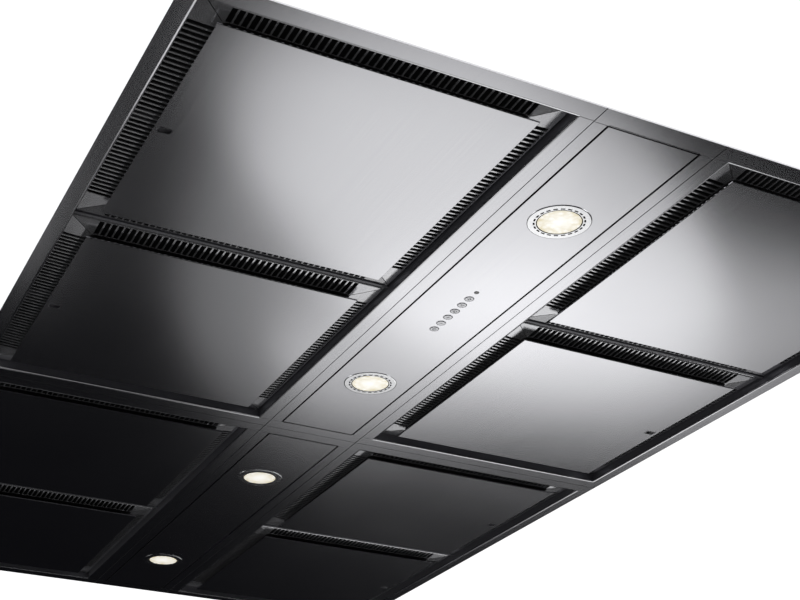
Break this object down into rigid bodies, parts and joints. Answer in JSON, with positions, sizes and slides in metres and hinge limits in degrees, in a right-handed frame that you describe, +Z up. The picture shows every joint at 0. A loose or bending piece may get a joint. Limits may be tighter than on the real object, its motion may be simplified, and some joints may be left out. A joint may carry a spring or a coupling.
{
  "type": "ceiling range hood",
  "caption": "Flat ceiling range hood with steel filter panels in slotted trays either side of a light channel with round lamps, push buttons and roof duct collars.",
  "frame": {"origin": "middle of the four hanger holes, at the upper face of the hanger plates", "axes": "+Z up to the ceiling slab, +Y along the hood from the bay with the controls to the other bay, +X to the right seen that way"},
  "size_m": [1.0234, 1.7994, 0.2612],
  "materials": {
    "trim_steel": "brushed, satin",
    "panel_steel": "brushed, satin",
    "filter_steel": "smooth, satin",
    "latch_black": "moulded, matt",
    "galvanised_sheet": "spangled zinc",
    "flap_aluminium": "rolled",
    "zinc_screw": "zinc plated",
    "lamp_chrome": "polished",
    "lamp_can_aluminium": "die cast",
    "lamp_glass": "clear, lit from behind",
    "button_steel": "satin",
    "status_lens": "polished",
    "control_plastic": "moulded, matt"
  },
  "bodies": {
    "hood_body": {"side_frame_left_front": "trim_steel", "plenum_left_front": "galvanised_sheet", "duct_collar_left_front": "galvanised_sheet", "side_frame_left_rear": "trim_steel", "plenum_left_rear": "galvanised_sheet", "duct_collar_left_rear": "galvanised_sheet", "side_frame_right_front": "trim_steel", "plenum_right_front": "galvanised_sheet", "duct_collar_right_front": "galvanised_sheet", "side_frame_right_rear": "trim_steel", "plenum_right_rear": "galvanised_sheet", "duct_collar_right_rear": "galvanised_sheet", "hanger_plates": "galvanised_sheet", "collar_screws": "zinc_screw", "light_housing_front": "trim_steel", "light_housing_rear": "trim_steel"},
    "flap_left_front": {"backflow_flap_left_front": "flap_aluminium"},
    "flap_left_rear": {"backflow_flap_left_rear": "flap_aluminium"},
    "flap_right_front": {"backflow_flap_right_front": "flap_aluminium"},
    "flap_right_rear": {"backflow_flap_right_rear": "flap_aluminium"},
    "filter_left_1": {"filter_tray_left_1": "filter_steel", "cover_panel_left_1": "panel_steel"},
    "latch_left_1": {"filter_latch_left_1": "latch_black"},
    "filter_left_2": {"filter_tray_left_2": "filter_steel", "cover_panel_left_2": "panel_steel"},
    "latch_left_2": {"filter_latch_left_2": "latch_black"},
    "filter_left_3": {"filter_tray_left_3": "filter_steel", "cover_panel_left_3": "panel_steel"},
    "latch_left_3": {"filter_latch_left_3": "latch_black"},
    "filter_left_4": {"filter_tray_left_4": "filter_steel", "cover_panel_left_4": "panel_steel"},
    "latch_left_4": {"filter_latch_left_4": "latch_black"},
    "filter_right_1": {"filter_tray_right_1": "filter_steel", "cover_panel_right_1": "panel_steel"},
    "latch_right_1": {"filter_latch_right_1": "latch_black"},
    "filter_right_2": {"filter_tray_right_2": "filter_steel", "cover_panel_right_2": "panel_steel"},
    "latch_right_2": {"filter_latch_right_2": "latch_black"},
    "filter_right_3": {"filter_tray_right_3": "filter_steel", "cover_panel_right_3": "panel_steel"},
    "latch_right_3": {"filter_latch_right_3": "latch_black"},
    "filter_right_4": {"filter_tray_right_4": "filter_steel", "cover_panel_right_4": "panel_steel"},
    "latch_right_4": {"filter_latch_right_4": "latch_black"},
    "light_door_front": {"light_panel_front": "panel_steel", "lamp_bezels_front": "lamp_chrome", "lamp_cans_front": "lamp_can_aluminium", "lamp_glasses_front": "lamp_glass", "status_led": "status_lens", "control_box": "control_plastic"},
    "light_door_rear": {"light_panel_rear": "panel_steel", "lamp_bezels_rear": "lamp_chrome", "lamp_cans_rear": "lamp_can_aluminium", "lamp_glasses_rear": "lamp_glass"},
    "button_1": {"button_1": "button_steel"},
    "button_2": {"button_2": "button_steel"},
    "button_3": {"button_3": "button_steel"},
    "button_4": {"button_4": "button_steel"},
    "button_5": {"button_5": "button_steel"},
    "button_6": {"button_6": "button_steel"}
  },
  "joints": [
    {"name": "flap_turn_left_front", "type": "hinge", "parent": "hood_body", "child": "flap_left_front", "pos_m": [-0.2935, -0.45, 0.02], "axis": [1, 0, 0], "range_deg": [0, 80]},
    {"name": "flap_turn_left_rear", "type": "hinge", "parent": "hood_body", "child": "flap_left_rear", "pos_m": [-0.2935, 0.45, 0.02], "axis": [1, 0, 0], "range_deg": [0, 80]},
    {"name": "flap_turn_right_front", "type": "hinge", "parent": "hood_body", "child": "flap_right_front", "pos_m": [0.2935, -0.45, 0.02], "axis": [1, 0, 0], "range_deg": [0, 80]},
    {"name": "flap_turn_right_rear", "type": "hinge", "parent": "hood_body", "child": "flap_right_rear", "pos_m": [0.2935, 0.45, 0.02], "axis": [1, 0, 0], "range_deg": [0, 80]},
    {"name": "filter_swing_left_1", "type": "hinge", "parent": "hood_body", "child": "filter_left_1", "pos_m": [-0.0985, 0, -0.1908], "axis": [0, -1, 0], "range_deg": [0, 85]},
    {"name": "latch_slide_left_1", "type": "slide", "parent": "filter_left_1", "child": "latch_left_1", "axis": [1, 0, 0], "range_m": [0, 0.006], "stiffness_N_per_m": 120},
    {"name": "filter_swing_left_2", "type": "hinge", "parent": "hood_body", "child": "filter_left_2", "pos_m": [-0.0985, 0, -0.1908], "axis": [0, -1, 0], "range_deg": [0, 85]},
    {"name": "latch_slide_left_2", "type": "slide", "parent": "filter_left_2", "child": "latch_left_2", "axis": [1, 0, 0], "range_m": [0, 0.006], "stiffness_N_per_m": 120},
    {"name": "filter_swing_left_3", "type": "hinge", "parent": "hood_body", "child": "filter_left_3", "pos_m": [-0.0985, 0, -0.1908], "axis": [0, -1, 0], "range_deg": [0, 85]},
    {"name": "latch_slide_left_3", "type": "slide", "parent": "filter_left_3", "child": "latch_left_3", "axis": [1, 0, 0], "range_m": [0, 0.006], "stiffness_N_per_m": 120},
    {"name": "filter_swing_left_4", "type": "hinge", "parent": "hood_body", "child": "filter_left_4", "pos_m": [-0.0985, 0, -0.1908], "axis": [0, -1, 0], "range_deg": [0, 85]},
    {"name": "latch_slide_left_4", "type": "slide", "parent": "filter_left_4", "child": "latch_left_4", "axis": [1, 0, 0], "range_m": [0, 0.006], "stiffness_N_per_m": 120},
    {"name": "filter_swing_right_1", "type": "hinge", "parent": "hood_body", "child": "filter_right_1", "pos_m": [0.0985, 0, -0.1908], "axis": [0, 1, 0], "range_deg": [0, 85]},
    {"name": "latch_slide_right_1", "type": "slide", "parent": "filter_right_1", "child": "latch_right_1", "axis": [-1, 0, 0], "range_m": [0, 0.006], "stiffness_N_per_m": 120},
    {"name": "filter_swing_right_2", "type": "hinge", "parent": "hood_body", "child": "filter_right_2", "pos_m": [0.0985, 0, -0.1908], "axis": [0, 1, 0], "range_deg": [0, 85]},
    {"name": "latch_slide_right_2", "type": "slide", "parent": "filter_right_2", "child": "latch_right_2", "axis": [-1, 0, 0], "range_m": [0, 0.006], "stiffness_N_per_m": 120},
    {"name": "filter_swing_right_3", "type": "hinge", "parent": "hood_body", "child": "filter_right_3", "pos_m": [0.0985, 0, -0.1908], "axis": [0, 1, 0], "range_deg": [0, 85]},
    {"name": "latch_slide_right_3", "type": "slide", "parent": "filter_right_3", "child": "latch_right_3", "axis": [-1, 0, 0], "range_m": [0, 0.006], "stiffness_N_per_m": 120},
    {"name": "filter_swing_right_4", "type": "hinge", "parent": "hood_body", "child": "filter_right_4", "pos_m": [0.0985, 0, -0.1908], "axis": [0, 1, 0], "range_deg": [0, 85]},
    {"name": "latch_slide_right_4", "type": "slide", "parent": "filter_right_4", "child": "latch_right_4", "axis": [-1, 0, 0], "range_m": [0, 0.006], "stiffness_N_per_m": 120},
    {"name": "light_door_swing_front", "type": "hinge", "parent": "hood_body", "child": "light_door_front", "pos_m": [0.0465, -0.45, -0.199], "axis": [0, -1, 0], "range_deg": [0, 85]},
    {"name": "light_door_swing_rear", "type": "hinge", "parent": "hood_body", "child": "light_door_rear", "pos_m": [0.0465, 0.45, -0.199], "axis": [0, -1, 0], "range_deg": [0, 85]},
    {"name": "button_press_1", "type": "slide", "parent": "light_door_front", "child": "button_1", "axis": [0, 0, 1], "range_m": [0, 0.0015], "stiffness_N_per_m": 400},
    {"name": "button_press_2", "type": "slide", "parent": "light_door_front", "child": "button_2", "axis": [0, 0, 1], "range_m": [0, 0.0015], "stiffness_N_per_m": 400},
    {"name": "button_press_3", "type": "slide", "parent": "light_door_front", "child": "button_3", "axis": [0, 0, 1], "range_m": [0, 0.0015], "stiffness_N_per_m": 400},
    {"name": "button_press_4", "type": "slide", "parent": "light_door_front", "child": "button_4", "axis": [0, 0, 1], "range_m": [0, 0.0015], "stiffness_N_per_m": 400},
    {"name": "button_press_5", "type": "slide", "parent": "light_door_front", "child": "button_5", "axis": [0, 0, 1], "range_m": [0, 0.0015], "stiffness_N_per_m": 400},
    {"name": "button_press_6", "type": "slide", "parent": "light_door_front", "child": "button_6", "axis": [0, 0, 1], "range_m": [0, 0.0015], "stiffness_N_per_m": 400}
  ]
}
